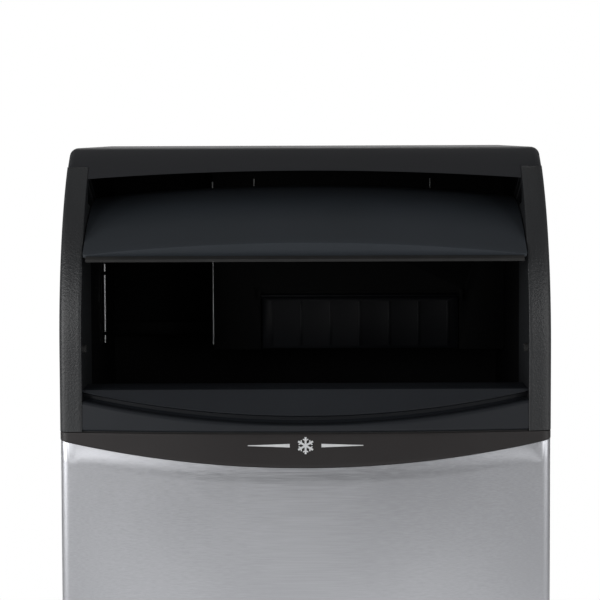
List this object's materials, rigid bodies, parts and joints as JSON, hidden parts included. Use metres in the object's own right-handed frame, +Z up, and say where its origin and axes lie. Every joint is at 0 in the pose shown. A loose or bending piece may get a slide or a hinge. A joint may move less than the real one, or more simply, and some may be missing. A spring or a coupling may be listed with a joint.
{
  "type": "undercounter ice machine",
  "caption": "Undercounter ice machine with a curved lift-up door that slides back under its top cover, an insulated bin, a brushed steel front and a louvred base on adjustable legs.",
  "frame": {"origin": "on the floor, under the centre of the cabinet's plan", "axes": "+X to the viewer's right, +Y to the rear, +Z up; the front with the door faces -Y"},
  "size_m": [0.61, 0.61, 0.99],
  "materials": {
    "stainless": "satin",
    "galvanised": "satin",
    "black_moulding": "satin",
    "door_moulding": "satin",
    "trim_moulding": "satin",
    "emblem_metal": "satin",
    "dark_liner": "matte",
    "dark_housing": "matte",
    "foam": "matte",
    "white_nylon": "satin",
    "steel_rod": "polished",
    "rubber": "matte",
    "nickel_plate": "satin",
    "grey_plastic": "satin",
    "clear_blue": "gloss",
    "black_paint": "gloss",
    "copper": "polished",
    "brass": "satin",
    "fin_aluminium": "satin",
    "zinc": "satin",
    "circuit_board": "satin",
    "switch_green": "gloss",
    "scoop_plastic": "satin"
  },
  "bodies": {
    "cabinet": {"base_pan": "galvanised", "side_panel_left": "stainless", "side_panel_right": "stainless", "rear_panel": "galvanised", "insulation": "foam", "bin_liner": "dark_liner", "top_cover": "black_moulding", "cheek_left": "black_moulding", "cheek_right": "black_moulding", "sill_bezel": "black_moulding", "badge_trim": "trim_moulding", "badge_emblem": "emblem_metal", "front_panel": "stainless", "front_grille": "black_moulding", "door_tracks": "grey_plastic", "door_bumpers": "rubber", "ice_maker_housing": "dark_housing", "evaporator": "nickel_plate", "water_sump": "grey_plastic", "water_distributor": "white_nylon", "water_pump": "grey_plastic", "float_valve": "white_nylon", "bay_baffle": "dark_housing", "bin_probe": "grey_plastic", "drain_hose": "grey_plastic", "compressor": "black_paint", "compressor_mounts": "rubber", "condenser_coil": "fin_aluminium", "condenser_mounts": "galvanised", "air_filter": "grey_plastic", "fan_shroud": "grey_plastic", "fan_motor": "black_paint", "filter_drier": "copper", "pipework": "copper", "hot_gas_valve": "brass", "inlet_valve": "grey_plastic", "drain_fitting": "grey_plastic", "cord_gland": "grey_plastic", "control_box": "galvanised", "control_board": "circuit_board", "switch_frame": "black_moulding", "legs": "stainless", "screws": "zinc", "scoop_holder": "stainless"},
    "door_carriage": {"pivot_rod": "steel_rod", "slide_shoes": "white_nylon"},
    "door": {"door_outer": "door_moulding", "door_inner": "door_moulding", "door_foam": "foam", "door_seal": "rubber"},
    "curtain": {"ice_curtain": "clear_blue"},
    "fan": {"fan_blade": "fin_aluminium"},
    "impeller": {"pump_impeller": "white_nylon"},
    "float": {"float_arm": "white_nylon"},
    "switch": {"rocker_switch": "switch_green"},
    "foot_fl": {"foot_front_left": "zinc"},
    "foot_fr": {"foot_front_right": "zinc"},
    "foot_rl": {"foot_rear_left": "zinc"},
    "foot_rr": {"foot_rear_right": "zinc"},
    "scoop": {"ice_scoop": "scoop_plastic"}
  },
  "joints": [
    {"name": "carriage_slide", "type": "slide", "parent": "cabinet", "child": "door_carriage", "axis": [0, 0.9272, -0.3746], "range_m": [-0.169, 0.05]},
    {"name": "door_hinge", "type": "hinge", "parent": "door_carriage", "child": "door", "pos_m": [0, -0.00231, 0.88069], "axis": [-1, 0, 0], "range_deg": [-58, 17.2]},
    {"name": "curtain_hinge", "type": "hinge", "parent": "cabinet", "child": "curtain", "pos_m": [0, 0.1085, 0.777], "axis": [-1, 0, 0], "range_deg": [0, 35]},
    {"name": "fan_spin", "type": "hinge", "parent": "cabinet", "child": "fan", "pos_m": [-0.11, -0.171, 0.2492], "axis": [0, 1, 0], "continuous": true},
    {"name": "impeller_spin", "type": "hinge", "parent": "cabinet", "child": "impeller", "pos_m": [0.246, 0.17, 0.73], "axis": [0, 0, 1], "continuous": true},
    {"name": "float_hinge", "type": "hinge", "parent": "cabinet", "child": "float", "pos_m": [-0.035, 0.144, 0.75], "axis": [1, 0, 0], "range_deg": [0, 20]},
    {"name": "switch_rock", "type": "hinge", "parent": "cabinet", "child": "switch", "pos_m": [0.245, -0.28695, 0.353], "axis": [0, 0, 1], "range_deg": [-16, 0]},
    {"name": "foot_screw_fl", "type": "slide", "parent": "cabinet", "child": "foot_fl", "axis": [0, 0, -1], "range_m": [0, 0.02]},
    {"name": "foot_screw_fr", "type": "slide", "parent": "cabinet", "child": "foot_fr", "axis": [0, 0, -1], "range_m": [0, 0.02]},
    {"name": "foot_screw_rl", "type": "slide", "parent": "cabinet", "child": "foot_rl", "axis": [0, 0, -1], "range_m": [0, 0.02]},
    {"name": "foot_screw_rr", "type": "slide", "parent": "cabinet", "child": "foot_rr", "axis": [0, 0, -1], "range_m": [0, 0.02]},
    {"name": "scoop_lift", "type": "slide", "parent": "cabinet", "child": "scoop", "axis": [0, 0, 1], "range_m": [0, 0.12]}
  ],
  "couplings": [
    {"joint": "door_hinge", "follows": "carriage_slide", "rad_per_m": 5.9865}
  ]
}
